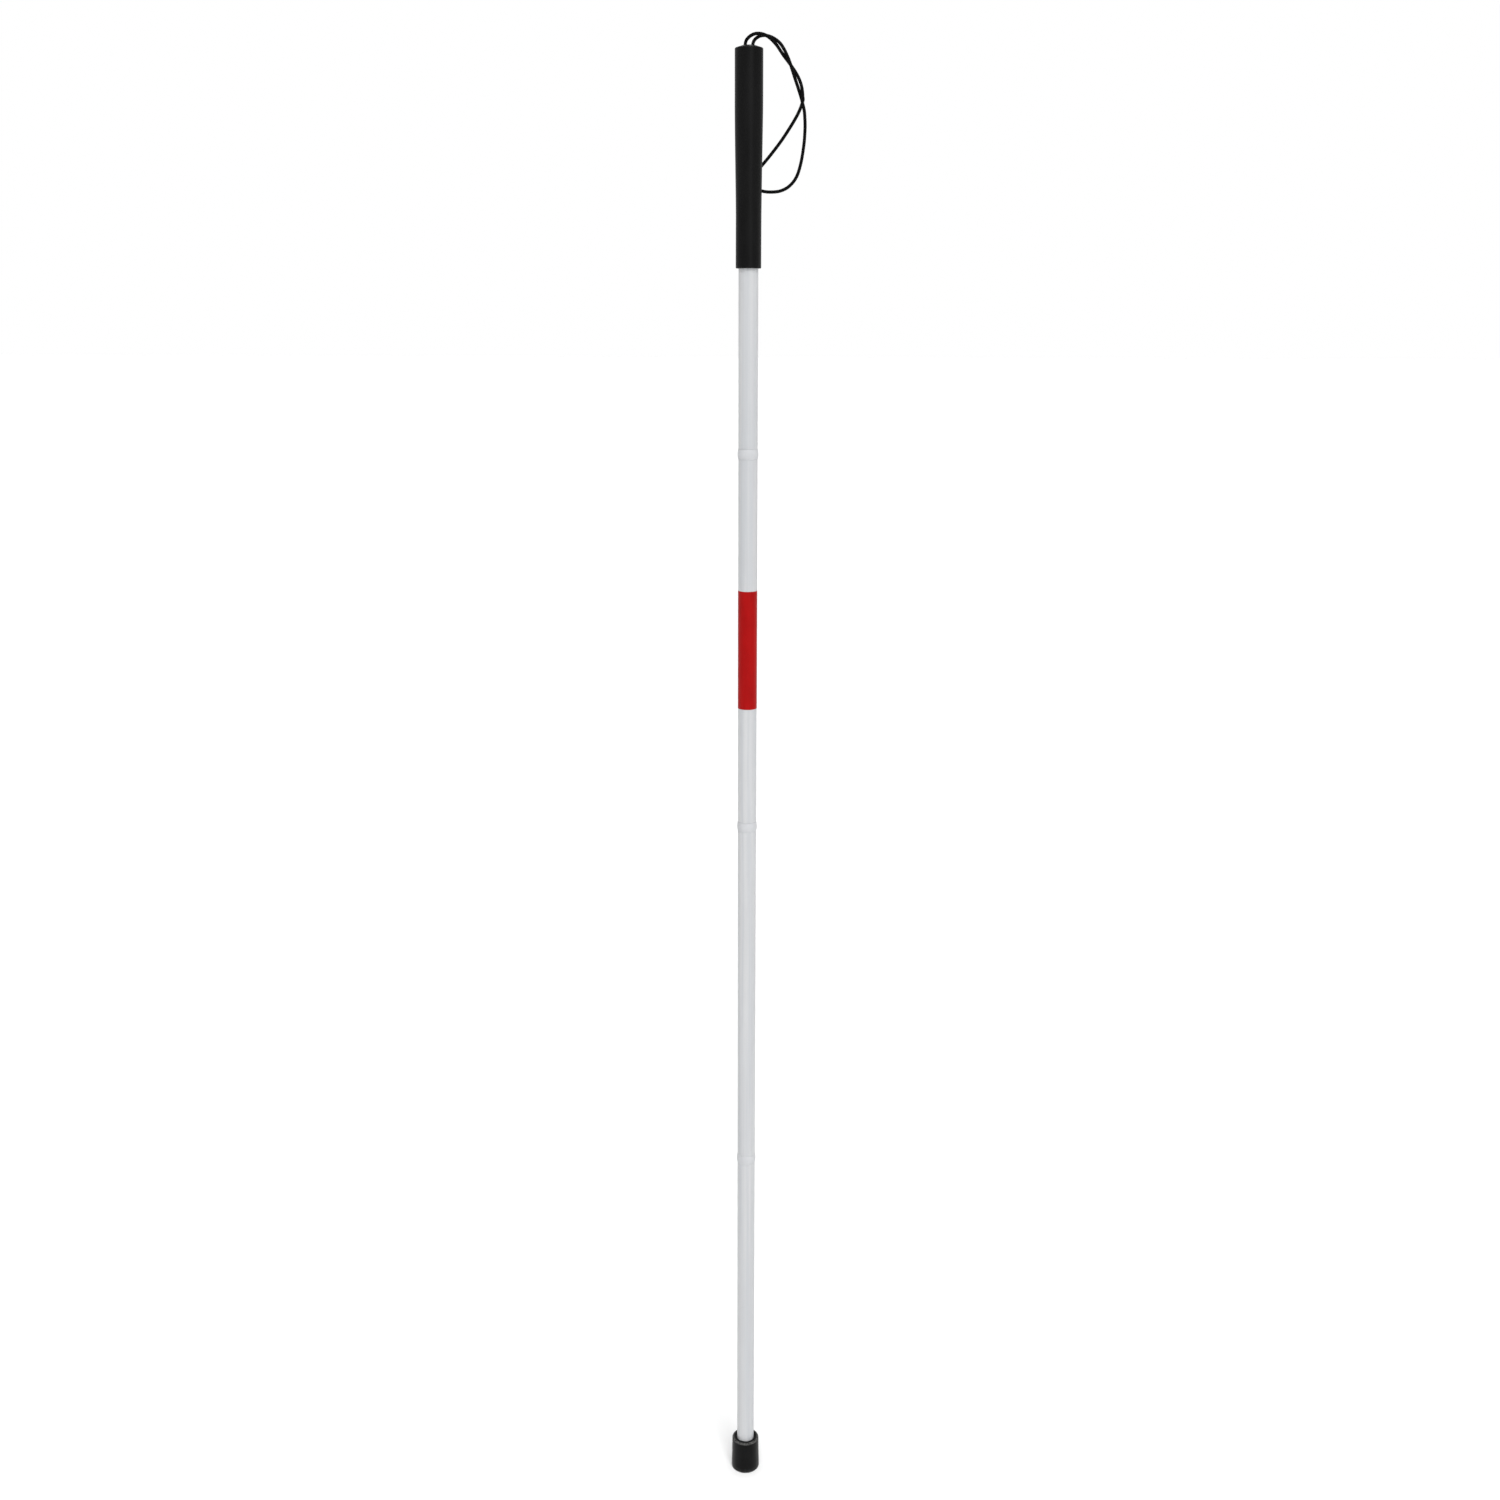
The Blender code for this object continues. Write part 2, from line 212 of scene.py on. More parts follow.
class Nodes:
    """Short names for the shader nodes that the materials share."""

    def __init__(self, name):
        self.material = bpy.data.materials.new(name)
        self.material.use_nodes = True
        self.tree = self.material.node_tree
        self.shader = self.tree.nodes["Principled BSDF"]
        self.place = self.tree.nodes.new("ShaderNodeTexCoord")

    def add(self, kind, **settings):
        node = self.tree.nodes.new("ShaderNode" + kind)
        for key, value in settings.items():
            setattr(node, key, value)
        return node

    def link(self, source, target):
        self.tree.links.new(source, target)

    def mapped(self, scale):
        node = self.add("Mapping")
        node.inputs["Scale"].default_value = scale
        self.link(self.place.outputs["Object"], node.inputs["Vector"])
        return node.outputs["Vector"]

    def noise(self, scale, detail=4.0, rough=0.55, distortion=0.0):
        node = self.add("TexNoise")
        node.inputs["Scale"].default_value = 1.0
        node.inputs["Detail"].default_value = detail
        node.inputs["Roughness"].default_value = rough
        node.inputs["Distortion"].default_value = distortion
        self.link(self.mapped(scale), node.inputs["Vector"])
        return node.outputs["Fac"]

    def cells(self, scale, feature="F1"):
        node = self.add("TexVoronoi", feature=feature)
        node.inputs["Scale"].default_value = 1.0
        self.link(self.mapped(scale), node.inputs["Vector"])
        return node.outputs["Distance"]

    def ramp(self, source, stops):
        node = self.add("ValToRGB")
        points = node.color_ramp.elements
        while len(points) < len(stops):
            points.new(0.5)
        for point, (position, colour) in zip(points, stops):
            point.position = position
            point.color = (*colour, 1.0)
        self.link(source, node.inputs["Fac"])
        return node.outputs["Color"]

    def grey_ramp(self, source, stops):
        return self.ramp(source, [(position, (value, value, value)) for position, value in stops])

    def mix(self, first, second, share):
        """Blend two colours by a socket. Each colour is a socket or an RGB tuple."""
        node = self.add("Mix", data_type="RGBA")
        for socket, value in (("A", first), ("B", second)):
            target = next(i for i in node.inputs if i.name == socket and i.type == "RGBA")
            if isinstance(value, tuple):
                target.default_value = (*value, 1.0)
            else:
                self.link(value, target)
        factor = next(i for i in node.inputs if i.name == "Factor" and i.type == "VALUE")
        self.link(share, factor)
        return next(o for o in node.outputs if o.type == "RGBA")

    def bump(self, height, strength, distance, under=None):
        node = self.add("Bump")
        node.inputs["Strength"].default_value = strength
        node.inputs["Distance"].default_value = distance
        self.link(height, node.inputs["Height"])
        if under is not None:
            self.link(under, node.inputs["Normal"])
        return node.outputs["Normal"]

    def set(self, **values):
        for key, value in values.items():
            self.shader.inputs[key.replace("_", " ")].default_value = value

    def wire(self, **sources):
        for key, source in sources.items():
            self.link(source, self.shader.inputs[key.replace("_", " ")])


def white_coat():
    """White covering of the aluminium tube: fine beads, faint lengthwise streaks, handling marks."""
    n = Nodes("white_coat")
    broad = n.noise((60.0, 60.0, 9.0), 3.0)
    base = n.ramp(broad, [(0.3, (0.492, 0.495, 0.503)), (0.7, (0.540, 0.545, 0.553))])
    drawn = n.noise((420.0, 420.0, 5.0), 3.0)
    streaks = n.grey_ramp(drawn, [(0.40, 0.0), (0.62, 0.85)])
    base = n.mix(base, (0.448, 0.462, 0.482), streaks)
    beads = n.cells((5200.0, 5200.0, 5200.0))
    beaded = n.mix(base, (0.41, 0.42, 0.435), n.grey_ramp(beads, [(0.25, 0.0), (0.8, 0.35)]))
    scuffs = n.noise((900.0, 900.0, 40.0), 6.0, 0.65, distortion=0.6)
    marks = n.grey_ramp(scuffs, [(0.66, 0.0), (0.74, 0.45)])
    n.wire(Base_Color=n.mix(beaded, (0.33, 0.33, 0.33), marks))
    n.wire(Roughness=n.grey_ramp(scuffs, [(0.35, 0.30), (0.75, 0.50)]))
    film = n.noise((180.0, 180.0, 60.0), 4.0)
    n.wire(Normal=n.bump(beads, 0.10, 0.00004, n.bump(film, 0.12, 0.0002)))
    n.set(Specular_IOR_Level=0.4)
    return n.material


def red_film():
    """Red reflective film: dark fine cells under a clear face."""
    n = Nodes("red_film")
    broad = n.noise((70.0, 70.0, 30.0), 3.0)
    base = n.ramp(broad, [(0.3, (0.285, 0.0018, 0.0020)), (0.7, (0.40, 0.0032, 0.0034))])
    beads = n.cells((4200.0, 4200.0, 4200.0))
    beaded = n.mix(base, (0.20, 0.0010, 0.0012), n.grey_ramp(beads, [(0.3, 0.0), (0.85, 0.45)]))
    scuffs = n.noise((700.0, 700.0, 60.0), 6.0, 0.65, distortion=0.5)
    marks = n.grey_ramp(scuffs, [(0.67, 0.0), (0.78, 0.35)])
    n.wire(Base_Color=n.mix(beaded, (0.42, 0.05, 0.05), marks))
    n.wire(Roughness=n.grey_ramp(scuffs, [(0.35, 0.32), (0.75, 0.5)]))
    n.wire(Normal=n.bump(beads, 0.12, 0.00005))
    n.set(Specular_IOR_Level=0.08)
    return n.material


def grip_rubber():
    """Matt black grip rubber with a fine moulded grain, a little dusty in the grain."""
    n = Nodes("grip_rubber")
    broad = n.noise((70.0, 70.0, 18.0), 4.0)
    base = n.ramp(broad, [(0.3, (0.0024, 0.0024, 0.0025)), (0.7, (0.0056, 0.0056, 0.0057))])
    grain = n.cells((1500.0, 1500.0, 1500.0), feature="SMOOTH_F1")
    dusty = n.mix(base, (0.009, 0.0089, 0.0088), n.grey_ramp(grain, [(0.35, 0.0), (0.9, 0.35)]))
    n.wire(Base_Color=dusty)
    n.wire(Roughness=n.grey_ramp(broad, [(0.3, 0.33), (0.7, 0.46)]))
    fine = n.noise((3500.0, 3500.0, 3500.0), 3.0)
    n.wire(Normal=n.bump(grain, 0.35, 0.00008, n.bump(fine, 0.25, 0.00005)))
    n.set(Specular_IOR_Level=0.085)
    return n.material


TIP_H = 27.0 * MM


def tip_rubber():
    """Harder black rubber of the tip: smooth sides, a painted highlight on the rounded rim, and a lighter
    foot that is partly wear and partly a painted highlight.
    """
    n = Nodes("tip_rubber")
    broad = n.noise((150.0, 150.0, 90.0), 4.0)
    base = n.ramp(broad, [(0.3, (0.0016, 0.0016, 0.0017)), (0.7, (0.0034, 0.0034, 0.0035))])
    height = n.add("SeparateXYZ")
    n.link(n.place.outputs["Object"], height.inputs["Vector"])
    up_the_tip = n.add("MapRange")
    up_the_tip.inputs["From Max"].default_value = TIP_H
    n.link(height.outputs["Z"], up_the_tip.inputs["Value"])
    # Bands near the foot and at the rim: the rim band is a painted highlight, the foot band partly wear and
    # partly a painted highlight
    foot_and_rim = [(0.0, 1.0), (0.06, 0.2), (0.16, 0.0), (0.945, 0.0), (0.965, 1.0)]
    rubbed = n.grey_ramp(up_the_tip.outputs["Result"], foot_and_rim)
    from_axis = n.add("VectorMath", operation="LENGTH")
    n.link(n.mapped((1.0, 1.0, 0.0)), from_axis.inputs[0])
    reach = n.add("MapRange")
    reach.inputs["From Min"].default_value = 8.7 * MM
    reach.inputs["From Max"].default_value = 9.3 * MM
    n.link(from_axis.outputs["Value"], reach.inputs["Value"])
    # Patches that break the painted highlight and the wear into spots; they also vary the roughness and
    # bumps
    wear_and_highlight_noise = n.noise((1100.0, 1100.0, 1100.0), 5.0)
    painted_highlight_and_wear = n.add("Math", operation="MULTIPLY")
    n.link(rubbed, painted_highlight_and_wear.inputs[0])
    n.link(n.grey_ramp(wear_and_highlight_noise, [(0.38, 0.15), (0.58, 1.0)]), painted_highlight_and_wear.inputs[1])
    outer = n.add("Math", operation="MULTIPLY")
    n.link(painted_highlight_and_wear.outputs["Value"], outer.inputs[0])
    n.link(reach.outputs["Result"], outer.inputs[1])
    # Lighter grey on the rounded outer rim is a painted highlight; on the foot's outer edge it is partly
    # wear and partly a painted highlight
    n.wire(Base_Color=n.mix(base, (0.095, 0.094, 0.092), outer.outputs["Value"]))
    n.wire(Roughness=n.grey_ramp(wear_and_highlight_noise, [(0.3, 0.28), (0.7, 0.46)]))
    n.wire(Normal=n.bump(wear_and_highlight_noise, 0.2, 0.00006))
    n.set(Specular_IOR_Level=0.09)
    return n.material


def nylon():
    """White moulded nylon of the joint plugs, close to the coat's colour, polished where it slides."""
    n = Nodes("nylon")
    broad = n.noise((160.0, 160.0, 90.0), 4.0)
    base = n.ramp(broad, [(0.3, (0.462, 0.470, 0.485)), (0.7, (0.508, 0.516, 0.532))])
    rubbed = n.noise((260.0, 260.0, 2600.0), 4.0)
    marks = n.grey_ramp(rubbed, [(0.62, 0.0), (0.75, 0.35)])
    n.wire(Base_Color=n.mix(base, (0.39, 0.395, 0.405), marks))
    n.wire(Roughness=n.grey_ramp(rubbed, [(0.3, 0.34), (0.7, 0.52)]))
    n.wire(Normal=n.bump(rubbed, 0.10, 0.00005))
    n.set(Specular_IOR_Level=0.4)
    return n.material


def bare_tube():
    """The tube's inside: bare drawn aluminium with fine lengthwise lines."""
    n = Nodes("bare_aluminium")
    lines = n.noise((2600.0, 2600.0, 30.0), 4.0)
    n.wire(Base_Color=n.ramp(lines, [(0.3, (0.50, 0.50, 0.51)), (0.7, (0.66, 0.66, 0.67))]))
    n.wire(Roughness=n.grey_ramp(lines, [(0.3, 0.32), (0.7, 0.5)]))
    n.wire(Normal=n.bump(lines, 0.15, 0.00005))
    n.set(Metallic=1.0)
    return n.material


def steel():
    """Zinc plated washer steel with a faint mottle."""
    n = Nodes("zinc_steel")
    mottle = n.noise((700.0, 700.0, 700.0), 5.0)
    n.wire(Base_Color=n.ramp(mottle, [(0.3, (0.42, 0.42, 0.41)), (0.7, (0.58, 0.58, 0.57))]))
    n.wire(Roughness=n.grey_ramp(mottle, [(0.3, 0.28), (0.7, 0.46)]))
    n.wire(Normal=n.bump(mottle, 0.1, 0.00005))
    n.set(Metallic=1.0)
    return n.material


THREADS = 8                       # threads that wind each way round a cord
CORD_PITCH = 3.6 * MM             # length of one thread's wave along the wrist cord
ELASTIC_PITCH = 3.0 * MM


def braid(name, dark, light, pitch, rough, gloss):
    """Braided cord: two families of threads crossing, read from the UV map (U round, V along in metres)."""
    n = Nodes(name)
    split = n.add("SeparateXYZ")
    n.link(n.place.outputs["UV"], split.inputs["Vector"])
    waves = []
    for lean in (1.0, -1.0):
        along = n.add("Math", operation="MULTIPLY")
        along.inputs[1].default_value = lean / pitch
        n.link(split.outputs["Y"], along.inputs[0])
        around = n.add("Math", operation="MULTIPLY_ADD")
        around.inputs[1].default_value = float(THREADS)
        n.link(split.outputs["X"], around.inputs[0])
        n.link(along.outputs["Value"], around.inputs[2])
        angle = n.add("Math", operation="MULTIPLY")
        angle.inputs[1].default_value = 2 * math.pi
        n.link(around.outputs["Value"], angle.inputs[0])
        wave = n.add("Math", operation="SINE")
        n.link(angle.outputs["Value"], wave.inputs[0])
        waves.append(wave.outputs["Value"])
    weave = n.add("Math", operation="MULTIPLY")
    n.link(waves[0], weave.inputs[0])
    n.link(waves[1], weave.inputs[1])
    height = n.add("Math", operation="MULTIPLY_ADD")
    height.inputs[1].default_value = 0.5
    height.inputs[2].default_value = 0.5
    n.link(weave.outputs["Value"], height.inputs[0])
    fuzz = n.noise((9000.0, 9000.0, 9000.0), 3.0)
    base = n.ramp(height.outputs["Value"], [(0.2, dark), (0.85, light)])
    n.wire(Base_Color=n.mix(base, light, n.grey_ramp(fuzz, [(0.5, 0.0), (0.8, 0.5)])))
    n.set(Roughness=rough, Specular_IOR_Level=gloss)
    n.wire(Normal=n.bump(height.outputs["Value"], 0.6, 0.00012, n.bump(fuzz, 0.3, 0.00003)))
    return n.material


LOOKS = {
    "white": white_coat(),
    "red": red_film(),
    "grip": grip_rubber(),
    "tip": tip_rubber(),
    "nylon": nylon(),
    "bare": bare_tube(),
    "steel": steel(),
    "cord": braid(
        "wrist_cord_braid", (0.0004, 0.0004, 0.0005), (0.004, 0.004, 0.0042), CORD_PITCH, 0.55, 0.05),
    "elastic": braid(
        "elastic_braid", (0.03, 0.03, 0.032), (0.13, 0.13, 0.135), ELASTIC_PITCH, 0.65, 0.3),
}


# ---------------------------------------------------------------- pieces

def make_grip():
    """Rubber sleeve: nearly flat top with a hole for the cord, long taper, softly broken foot."""
    low, high = low_z("grip"), TOP_Z
    top_r, foot_r = radius_of("grip"), 8.5 * MM
    taper_top, taper_low = high - 38.0 * MM, high - 104.0 * MM
    hole_r, dome_h = 3.9 * MM, 1.4 * MM
    bore_r, bore_edge = TUBE_R + GAP, 0.3 * MM
    shoulder, foot_edge, lip = 0.9 * MM, 0.6 * MM, 0.5 * MM
    roof_z, hole_top = high - 6.3 * MM, high - 1.2 * MM
    cone = math.degrees(math.atan2(dome_h, top_r - hole_r))
    outline = [(hole_r, hole_top)]
    outline += arc(hole_r + lip, high - 0.6 * MM, lip, 170, 90 - cone)
    corner = arc(top_r - shoulder, high - dome_h - shoulder, shoulder, 90 - cone, 0, 8)
    outline += straight(outline[-1], corner[0], 6)
    outline += corner
    outline += straight(corner[-1], (top_r, taper_top), 26)
    taper_steps = 60
    for index in range(taper_steps + 1):
        share = index / taper_steps
        eased = share * share * (3 - 2 * share) * 0.35 + share * 0.65
        outline.append(
            (top_r + (foot_r - top_r) * eased, taper_top + (taper_low - taper_top) * share))
    outline += straight((foot_r, taper_low), (foot_r, low + foot_edge), 24)
    outline += arc(foot_r - foot_edge, low + foot_edge, foot_edge, 0, -90, 6)
    outline += arc(bore_r + bore_edge, low + bore_edge, bore_edge, 270, 180, 4)
    outline += straight((bore_r, low + bore_edge), (bore_r, roof_z), 20)
    outline += [(bore_r, roof_z), (hole_r, roof_z)]
    outline += straight((hole_r, roof_z), (hole_r, hole_top), 4)
    wander = random.Random(4)
    phases = [wander.uniform(0, 2 * math.pi) for _ in range(6)]

    def shift(angle, radius, z):
        if radius < bore_r + 0.2 * MM:
            return 0.0
        swell = math.sin(2 * angle + 55 * z + phases[0]) + math.sin(3 * angle - 90 * z + phases[1])
        return 0.018 * MM * (swell - 2.0)

    grip = lathe("grip_sleeve", outline, LOOKS["grip"], sides=112, shift=shift)
    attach(grip, "handle_section")
    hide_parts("grip")


LOW_END_MORE = 0.13 * MM          # the visible tubes nearly close the seam at each joint
HIGH_END_MORE = 0.24 * MM


def make_tube(number, body):
    """A coated tube with softly broken edges and a bare bore."""
    node = f"tube_{number}"
    low, high = low_z(node), high_z(node)
    if number < 4:
        low -= LOW_END_MORE
    if number > 1:
        high += HIGH_END_MORE
    edge = 0.08 * MM
    outline = arc(TUBE_R - edge, high - edge, edge, 90, 0, 4)
    outline += straight((TUBE_R, high - edge), (TUBE_R, low + edge), 60)
    outline += arc(TUBE_R - edge, low + edge, edge, 0, -90, 4)
    outline += arc(BORE_R + edge, low + edge, edge, -90, -180, 4)
    outline += straight((BORE_R, low + edge), (BORE_R, high - edge), 20)
    outline += arc(BORE_R + edge, high - edge, edge, 180, 90, 4)
    tube = lathe(f"tube_{number}_coated", outline, LOOKS["white"])
    tube.data.materials.append(LOOKS["bare"])
    middle = (TUBE_R + BORE_R) / 2
    for face in tube.data.polygons:
        if math.hypot(face.center.x, face.center.y) < middle:
            face.material_index = 1
    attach(tube, body)
    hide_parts(node)


def make_band():
    """Red film wound once round the tube, with thin rounded ends."""
    low, high = low_z("red_band"), high_z("red_band")
    shy, edge = 0.02 * MM, 0.09 * MM
    outer = radius_of("red_band") - shy
    inner = TUBE_R + shy
    outline = arc(outer - edge, high - edge, edge, 90, 0, 4)
    outline += straight((outer, high - edge), (outer, low + edge), 30)
    outline += arc(outer - edge, low + edge, edge, 0, -90, 4)
    outline += [(inner, low), (inner, high)]
    band = lathe("red_band_film", outline, LOOKS["red"])
    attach(band, "upper_section")
    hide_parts("red_band")


def make_plug(number, body):
    """Joint plug: stem, low barrel collar, and the rounded nose with its cord hole."""
    node = f"joint_plug_{number}"
    fold_z = FOLD_Z[number - 1]
    low, high = low_z(node), high_z(node)
    collar_r = radius_of(node)
    collar_end_r, step_in = 6.68 * MM, 0.06 * MM
    edge = 0.05 * MM
    collar_top = fold_z - 0.03 * MM
    collar_low = fold_z - 7.15 * MM
    stem_r, stem_edge = BORE_R - GAP, 1.0 * MM
    hole_r, lip = 1.6 * MM, 0.5 * MM
    nose_fit, nose_shy = 0.15 * MM, 0.45 * MM
    pivot = joints[f"fold_{number}"]["pos_m"]
    reach = max(abs(pivot[0]), abs(pivot[1]))
    mouth = reach + BORE_R - nose_fit

    def nose(height):
        """The widest radius that still swings clear of the mouth above."""
        return math.sqrt(mouth ** 2 - height ** 2) - reach

    nose_h = high - fold_z
    outline = arc(hole_r + lip, high - lip, lip, 180, 95, 5)
    nose_steps, collar_steps = 22, 24
    for index in range(nose_steps, -1, -1):
        height = (nose_h - nose_shy) * index / nose_steps
        outline.append((nose(height), fold_z + height))
    outline += [(nose(0.0), collar_top), (collar_end_r - step_in, collar_top)]
    for index in range(collar_steps + 1):
        share = index / collar_steps
        swell = (collar_r - collar_end_r) * math.sin(math.pi * share)
        drop = edge + (collar_top - collar_low - 2 * edge) * share
        outline.append((collar_end_r + swell, collar_top - drop))
    outline += [(collar_end_r - step_in, collar_low), (stem_r, collar_low)]
    outline += straight((stem_r, collar_low), (stem_r, low + stem_edge), 8)
    outline += [(stem_r, low + stem_edge), (stem_r - stem_edge, low), (hole_r, low)]
    outline += straight((hole_r, low), (hole_r, high - lip), 12)
    plug = lathe(f"joint_plug_{number}_moulded", outline, LOOKS["nylon"], sides=80)
    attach(plug, body)
    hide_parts(node)


def make_tip():
    """Slip-on rubber ferrule: rounded rim, wall that flares at the foot, grooves moulded into the sole."""
    high = high_z("rubber_tip")
    foot_r = radius_of("rubber_tip")
    top_r, waist_r, waist_z = 10.5 * MM, 10.65 * MM, 15.5 * MM
    foot_z, foot_edge, floor_z = 3.5 * MM, 0.7 * MM, 6.0 * MM
    bore_r = TUBE_R + GAP
    lip, rim = 0.45 * MM, 1.4 * MM
    groove_foot, groove_top, groove_h = 0.55 * MM, 0.35 * MM, 0.5 * MM
    outline = [(0.0, floor_z), (bore_r, floor_z)]
    outline += straight((bore_r, floor_z), (bore_r, high - lip), 8)
    outline += arc(bore_r + lip, high - lip, lip, 180, 90, 4)
    outline += arc(top_r - rim, high - rim, rim, 90, 0, 8)
    outline += straight((top_r, high - rim), (waist_r, waist_z), 8)
    flare_steps = 16
    for index in range(flare_steps + 1):
        share = index / flare_steps
        eased = share * share * (3 - 2 * share)
        outline.append((waist_r + (foot_r - waist_r) * eased, waist_z + (foot_z - waist_z) * share))
    outline += arc(foot_r - foot_edge, foot_edge, foot_edge, 0, -90, 12)
    for ring_r in (6.4 * MM, 4.4 * MM, 2.4 * MM):
        outline += [
            (ring_r + groove_foot, 0.0), (ring_r + groove_top, groove_h),
            (ring_r - groove_top, groove_h), (ring_r - groove_foot, 0.0),
        ]
    outline.append((0.0, 0.0))
    tip = lathe("rubber_tip_moulded", outline, LOOKS["tip"])
    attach(tip, "tip_section")
    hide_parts("rubber_tip")


# The wrist cord's route, as x, y and z from the top of the grip, in metres
PAIR_ROUTE = (
    (0.0, 0.0, 0.0), (0.0013, 0.0001, 0.0035), (0.0043, 0.0002, 0.0057), (0.0076, 0.0003, 0.0064),
    (0.0109, 0.0005, 0.006), (0.0146, 0.0007, 0.0043), (0.0191, 0.001, 0.0006), (0.0232, 0.0013, -0.0054),
    (0.0266, 0.0016, -0.0109), (0.0302, 0.002, -0.0178), (0.0327, 0.0024, -0.0239),
    (0.0342, 0.0028, -0.0297), (0.0348, 0.0032, -0.0338),
)
LOOP_ROUTE = (
    (0.036, 0.0045, -0.0386), (0.0365, 0.0051, -0.0435), (0.0367, 0.0056, -0.0495),
    (0.0361, 0.006, -0.0594), (0.0342, 0.0063, -0.0711), (0.0313, 0.0068, -0.0798),
    (0.0266, 0.0076, -0.0854), (0.021, 0.0083, -0.0882), (0.0151, 0.0089, -0.0889),
    (0.0095, 0.0097, -0.0884), (0.0048, 0.0105, -0.0866), (0.0024, 0.0109, -0.0828),
    (0.0035, 0.0109, -0.0784), (0.0073, 0.0104, -0.0738), (0.0149, 0.0086, -0.0651),
    (0.0227, 0.0064, -0.0552), (0.0311, 0.0034, -0.0424),
)
CORD_R = 1.05 * MM
ENDS_APART = 5.1 * MM
ENDS_DEEP = 9.3 * MM              # from the top of the grip down to the cord's two ends
STRAND_OFFSET = 1.25 * MM         # from the pair's middle line to each strand
FIRST_QUARTER = 13.2 * MM         # length in which the strands first cross
HALF_TURN = 24.7 * MM             # length of each later half turn


def strand(side):
    """One strand of the twisted pair, which winds round the pair's middle line."""
    middle = spaced(smooth_curve(PAIR_ROUTE), 3.5 * MM)
    depth = Vector((0.0, 1.0, 0.0))
    points = []
    travelled = 0.0
    for index, point in enumerate(middle):
        ahead = middle[min(index + 1, len(middle) - 1)]
        behind = middle[max(index - 1, 0)]
        along = (ahead - behind).normalized()
        across = depth.cross(along).normalized()
        if index:
            travelled += (point - middle[index - 1]).length
        late = max(travelled - FIRST_QUARTER, 0.0)
        turn = math.pi / 2 * min(travelled / FIRST_QUARTER, 1.0) + math.pi * late / HALF_TURN
        closing = max(1.0 - travelled / FIRST_QUARTER, 0.0)
        reach = STRAND_OFFSET + (ENDS_APART / 2 - STRAND_OFFSET) * closing
        points.append(point + side * reach * (across * math.cos(turn) + depth * math.sin(turn)))
    return points


def cord_route():
    """The whole wrist cord: up one strand, round the loop and back down the other."""
    top = Vector((0.0, 0.0, TOP_Z))
    ends = [Vector((side * ENDS_APART / 2, 0.0, -ENDS_DEEP)) for side in (1, -1)]
    loop = [Vector(point) for point in LOOP_ROUTE]
    route = [ends[0], *strand(1), *loop, *reversed(strand(-1)), ends[1]]
    return [top + point for point in smooth_curve(route)]


def swept(name, points, radius, look, sides=20, relief=None):
    """A mesh tube along points, its rings kept from twisting; relief(turn, length) adds to its radius."""
    rings = []
    travelled = 0.0
    side = None
    for index, point in enumerate(points):
        ahead = points[min(index + 1, len(points) - 1)]
        behind = points[max(index - 1, 0)]
        along = (ahead - behind).normalized()
        if side is None:
            side = along.orthogonal().normalized()
        else:
            travelled += (point - points[index - 1]).length
            side = (side - along * side.dot(along)).normalized()
        other = along.cross(side)
        ring = []
        for step in range(sides):
            turn = step / sides
            reach = radius + (relief(turn, travelled) if relief else 0.0)
            angle = 2 * math.pi * turn
            ring.append(point + reach * (side * math.cos(angle) + other * math.sin(angle)))
        rings.append((ring, travelled))
    mesh, form, rows = ring_mesh(name, rings)
    close_end(form, rows[0], points[0])
    close_end(form, rows[-1], points[-1])
    return finish_mesh(name, mesh, form, look, CORD_SHARP_ANGLE)


def make_wrist_cord():
    """Braided cord: its threads wind each way round it, and the crossings stand proud."""
    points = spaced(cord_route(), 0.30 * MM)
    thread_h = 0.045 * MM

    def relief(turn, travelled):
        one = math.sin(2 * math.pi * (THREADS * turn + travelled / CORD_PITCH))
        two = math.sin(2 * math.pi * (THREADS * turn - travelled / CORD_PITCH))
        return thread_h * one * two

    cord = swept("wrist_cord_braided", points, CORD_R, LOOKS["cord"], sides=32, relief=relief)
    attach(cord, "handle_section")
    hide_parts("wrist_cord")


def make_elastic(number, low, high):
    """A span of the elastic across one fold, straight in the shaft; the braid of its short part at the fold
    is spread over the length that part opens into.
    """
    start = high_z(f"joint_plug_{number}") + 0.3 * MM
    end = start + 1.2 * MM
    arc_length = 42.0 * MM            # length that the short part between start and end opens into
    under_threads, thread_h = ELASTIC_R - 0.06 * MM, 0.05 * MM
    rings = []
    travelled = 0.0
    heights = [low + (start - low) * step / 60 for step in range(60)]
    heights += [start + (end - start) * step / 90 for step in range(91)]
    heights += [end + (high - end) * step / 60 for step in range(1, 61)]
    sides = 24
    for index, z in enumerate(heights):
        if index:
            gap = z - heights[index - 1]
            inside = start < z <= end + 1e-9
            travelled += gap * arc_length / (end - start) if inside else gap
        ring = []
        for step in range(sides):
            angle = 2 * math.pi * step / sides
            weave = math.sin(THREADS * angle + travelled * 2 * math.pi / ELASTIC_PITCH)
            weave *= math.sin(THREADS * angle - travelled * 2 * math.pi / ELASTIC_PITCH)
            reach = under_threads + thread_h * weave
            ring.append((reach * math.cos(angle), reach * math.sin(angle), z))
        rings.append((ring, travelled))
    name = f"elastic_span_{number}"
    mesh, form, rows = ring_mesh(name, rings)
    close_end(form, rows[0], (0.0, 0.0, low))
    close_end(form, rows[-1], (0.0, 0.0, high))
    span = finish_mesh(name, mesh, form, LOOKS["elastic"], CORD_SHARP_ANGLE)
    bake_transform(span)
    return span


BODIES = ("handle_section", "upper_section", "lower_section", "tip_section")


def make_elastics():
    """Three spans stand for the four stretches of the one elastic cord."""
    below_fold, span_gap = 40 * MM, 0.1 * MM
    joins = [
        high_z("elastic_cord_1"), FOLD_Z[0] - below_fold,
        FOLD_Z[1] - below_fold, low_z("elastic_cord_4"),
    ]
    for number in (1, 2, 3):
        high, low = joins[number - 1], joins[number]
        span = make_elastic(number, low, high - span_gap)
        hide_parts(f"elastic_cord_{number}")
        if number == 3:
            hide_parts("elastic_cord_4")


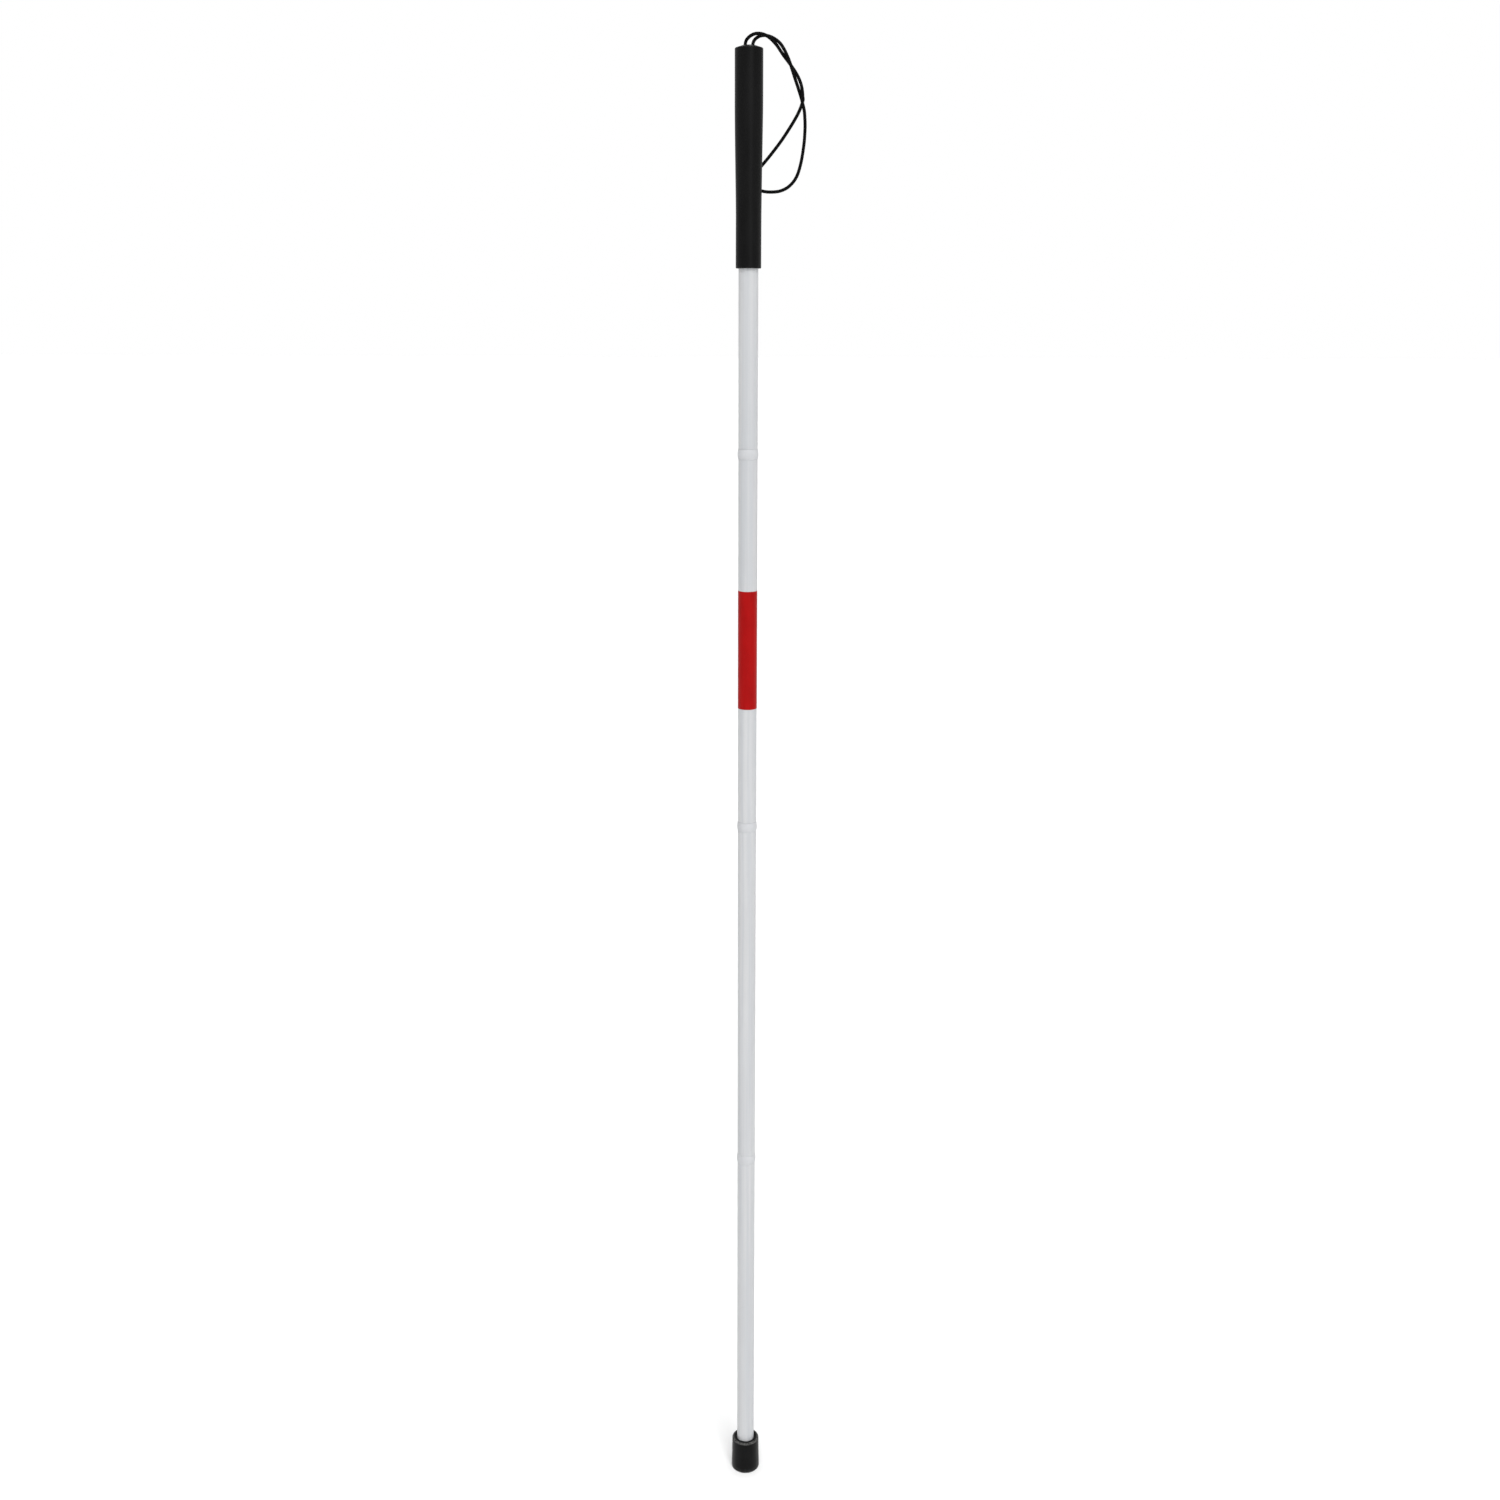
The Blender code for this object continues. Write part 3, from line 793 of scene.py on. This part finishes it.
def repaint_inner_pieces():
    """CAD pieces that stay as they are get the finished materials."""
    looks = {
        "cord_anchor": "nylon", "tip_plug": "nylon",
        "elastic_washer": "steel", "tip_washer": "steel",
        "cord_knot_right": "cord", "cord_knot_left": "cord",
        "elastic_knot_top": "elastic", "elastic_knot_low": "elastic",
    }
    for node, look in looks.items():
        piece = frame["nodes"][node]
        piece.data.materials.clear()
        piece.data.materials.append(LOOKS[look])


make_wrist_cord()
make_grip()
for tube_number, tube_body in enumerate(BODIES, 1):
    make_tube(tube_number, tube_body)
make_band()
for plug_number, plug_body in enumerate(BODIES[1:], 1):
    make_plug(plug_number, plug_body)
make_tip()
make_elastics()
repaint_inner_pieces()


# ---------------------------------------------------------------- floor, light and camera

def make_floor():
    """A pale floor that runs out flat to the horizon, with a very faint variation."""
    mesh = bpy.data.meshes.new("floor")
    form = bmesh.new()
    bmesh.ops.create_grid(form, x_segments=1, y_segments=1, size=30.0)
    form.to_mesh(mesh)
    form.free()
    floor = bpy.data.objects.new("floor", mesh)
    bpy.context.scene.collection.objects.link(floor)
    n = Nodes("floor_paint")
    n.wire(Base_Color=n.grey_ramp(n.noise((3.0, 3.0, 3.0), 2.0), [(0.3, 0.945), (0.7, 0.955)]))
    n.set(Roughness=0.9, Specular_IOR_Level=0.1)
    mesh.materials.append(n.material)


def hang(name, light, place, target):
    """Put a light at a place, aimed at a target."""
    lamp = bpy.data.objects.new(name, light)
    lamp.location = place
    lamp.rotation_euler = (Vector(target) - Vector(place)).to_track_quat("-Z", "Y").to_euler()
    bpy.context.scene.collection.objects.link(lamp)


def add_lamps():
    """A tall soft key in front, and a wide soft sun from in front and above."""
    key = bpy.data.lights.new("key", "AREA")
    key.shape = "RECTANGLE"
    key.size, key.size_y = 0.6, 1.8
    key.energy = 8.0
    hang("key", key, (0.75, -2.1, 1.5), (0.0, 0.0, TOP_Z / 2))
    sun = bpy.data.lights.new("overhead", "SUN")
    sun.energy = 2.1
    sun.angle = math.radians(45.0)
    hang("overhead", sun, (0.12, -0.85, 0.95), (0.0, 0.0, 0.0))


def light_world():
    """Even white light all round, stronger from behind; the camera itself sees a plain white backdrop."""
    world = bpy.data.worlds.new("studio")
    bpy.context.scene.world = world
    world.use_nodes = True
    tree = world.node_tree
    around = tree.nodes["Background"]
    around.inputs["Color"].default_value = (1.0, 1.0, 1.0, 1.0)
    heading = tree.nodes.new("ShaderNodeTexCoord")
    split = tree.nodes.new("ShaderNodeSeparateXYZ")
    tree.links.new(heading.outputs["Generated"], split.inputs["Vector"])
    fade = tree.nodes.new("ShaderNodeMapRange")
    fade.inputs["From Min"].default_value = -1.0
    fade.inputs["From Max"].default_value = 1.0
    fade.inputs["To Min"].default_value = 0.42
    fade.inputs["To Max"].default_value = 0.88
    tree.links.new(split.outputs["Y"], fade.inputs["Value"])
    tree.links.new(fade.outputs["Result"], around.inputs["Strength"])
    backdrop = tree.nodes.new("ShaderNodeBackground")
    backdrop.inputs["Color"].default_value = (1.0, 1.0, 1.0, 1.0)
    backdrop.inputs["Strength"].default_value = 1.0
    rays = tree.nodes.new("ShaderNodeLightPath")
    choose = tree.nodes.new("ShaderNodeMixShader")
    tree.links.new(rays.outputs["Is Camera Ray"], choose.inputs["Fac"])
    tree.links.new(around.outputs["Background"], choose.inputs[1])
    tree.links.new(backdrop.outputs["Background"], choose.inputs[2])
    tree.links.new(choose.outputs["Shader"], tree.nodes["World Output"].inputs["Surface"])


def add_camera():
    """Looks 15 degrees down at the cane from near its grip's height."""
    distance, height, sideways = 1.1447, 0.9049, 2.0 * MM
    pitch, roll = math.radians(15.0), math.radians(0.177)
    data = bpy.data.cameras.new("view")
    data.sensor_width = 36.0
    data.lens = 39.746
    camera = bpy.data.objects.new("view", data)
    camera.rotation_mode = "XYZ"
    camera.location = (sideways, -distance, height)
    camera.rotation_euler = (math.pi / 2 - pitch, 0.0, 0.0)
    camera.rotation_euler.rotate_axis("Z", roll)
    bpy.context.scene.collection.objects.link(camera)
    bpy.context.scene.camera = camera


make_floor()
light_world()
add_lamps()
add_camera()
bpy.context.scene.view_settings.view_transform = "Standard"
